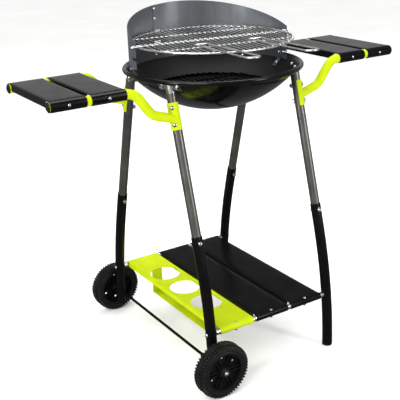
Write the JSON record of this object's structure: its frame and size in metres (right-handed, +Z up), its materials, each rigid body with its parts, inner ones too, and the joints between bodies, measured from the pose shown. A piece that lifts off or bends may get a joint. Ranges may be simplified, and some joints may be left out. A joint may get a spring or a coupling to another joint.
{
  "type": "charcoal grill",
  "caption": "Round charcoal grill on splayed legs with a half-round windscreen, slatted side shelves, a bottom shelf with a bottle rack, and wheels at one end.",
  "frame": {"origin": "on the ground, under the middle of the outer box", "axes": "+X towards the end with the plain feet, +Y away from the cook, +Z up"},
  "size_m": [1.057, 0.7198, 0.9383],
  "materials": {
    "bowl_enamel": "gloss black enamel, fired on",
    "screen_steel": "satin metallic grey, heat proof",
    "chromed_wire": "bright chromed steel wire",
    "grate_wire": "bare drawn steel wire",
    "leg_silver": "silver grey metallic powder coat",
    "leg_black": "satin black powder coat",
    "bracket_zinc": "bright zinc plated",
    "lime_paint": "satin lime green powder coat",
    "slat_black": "satin black powder coat",
    "rod_zinc": "bright zinc plated",
    "cap_plastic": "moulded black plastic",
    "axle_black": "black coated bar",
    "tyre_plastic": "moulded black plastic, dull",
    "hub_plastic": "moulded black plastic",
    "zinc_fasteners": "bright zinc plated"
  },
  "bodies": {
    "frame": {"axle": "axle_black", "axle_nuts": "zinc_fasteners", "axle_washers": "zinc_fasteners", "bottle_slat": "lime_paint", "bottle_strap": "lime_paint", "bottle_strap_rivets": "lime_paint", "bowl": "bowl_enamel", "bowl_bracket_bolts": "zinc_fasteners", "bowl_bracket_left_back": "bracket_zinc", "bowl_bracket_left_front": "bracket_zinc", "bowl_bracket_nuts": "zinc_fasteners", "bowl_bracket_right_back": "bracket_zinc", "bowl_bracket_right_front": "bracket_zinc", "foot_caps": "cap_plastic", "leg_joint_bolts": "zinc_fasteners", "leg_joint_nuts": "zinc_fasteners", "lower_leg_left_back": "leg_black", "lower_leg_left_front": "leg_black", "lower_leg_right_back": "leg_black", "lower_leg_right_front": "leg_black", "shelf_rod_back": "rod_zinc", "shelf_rod_bolts": "zinc_fasteners", "shelf_rod_front": "rod_zinc", "shelf_rod_sleeves": "zinc_fasteners", "shelf_slat_middle": "slat_black", "shelf_slat_nuts": "zinc_fasteners", "shelf_slat_right": "slat_black", "shelf_slat_screws": "zinc_fasteners", "side_arm_bolts": "zinc_fasteners", "side_arm_caps": "cap_plastic", "side_arm_left_back": "lime_paint", "side_arm_left_front": "lime_paint", "side_arm_nuts": "zinc_fasteners", "side_arm_right_back": "lime_paint", "side_arm_right_front": "lime_paint", "side_slat_left_inner": "slat_black", "side_slat_left_outer": "slat_black", "side_slat_right_inner": "slat_black", "side_slat_right_outer": "slat_black", "side_slat_screws": "zinc_fasteners", "upper_leg_left_back": "leg_silver", "upper_leg_left_front": "leg_silver", "upper_leg_right_back": "leg_silver", "upper_leg_right_front": "leg_silver", "windscreen_left": "screen_steel", "windscreen_right": "screen_steel", "windscreen_seam_screws": "zinc_fasteners", "windscreen_strap_left": "screen_steel", "windscreen_strap_right": "screen_steel", "windscreen_strap_screws": "zinc_fasteners"},
    "back_wheel": {"back_wheel_tyre": "tyre_plastic", "back_wheel_hub": "hub_plastic"},
    "front_wheel": {"front_wheel_tyre": "tyre_plastic", "front_wheel_hub": "hub_plastic"},
    "cooking_grid_body": {"cooking_grid": "chromed_wire", "grid_handle_left": "chromed_wire", "grid_handle_right": "chromed_wire"},
    "charcoal_grate_body": {"charcoal_grate": "grate_wire"}
  },
  "joints": [
    {"name": "front_wheel_spin", "type": "hinge", "parent": "frame", "child": "front_wheel", "pos_m": [-0.194, -0.26594, 0.075], "axis": [0, 1, 0], "continuous": true},
    {"name": "back_wheel_spin", "type": "hinge", "parent": "frame", "child": "back_wheel", "pos_m": [-0.194, 0.33006, 0.075], "axis": [0, 1, 0], "continuous": true},
    {"name": "cooking_grid_pull", "type": "slide", "parent": "frame", "child": "cooking_grid_body", "axis": [-0.1392, -0.9903, 0], "range_m": [0, 0.26]},
    {"name": "charcoal_grate_lift", "type": "slide", "parent": "frame", "child": "charcoal_grate_body", "axis": [0, 0, 1], "range_m": [0, 0.1]}
  ]
}
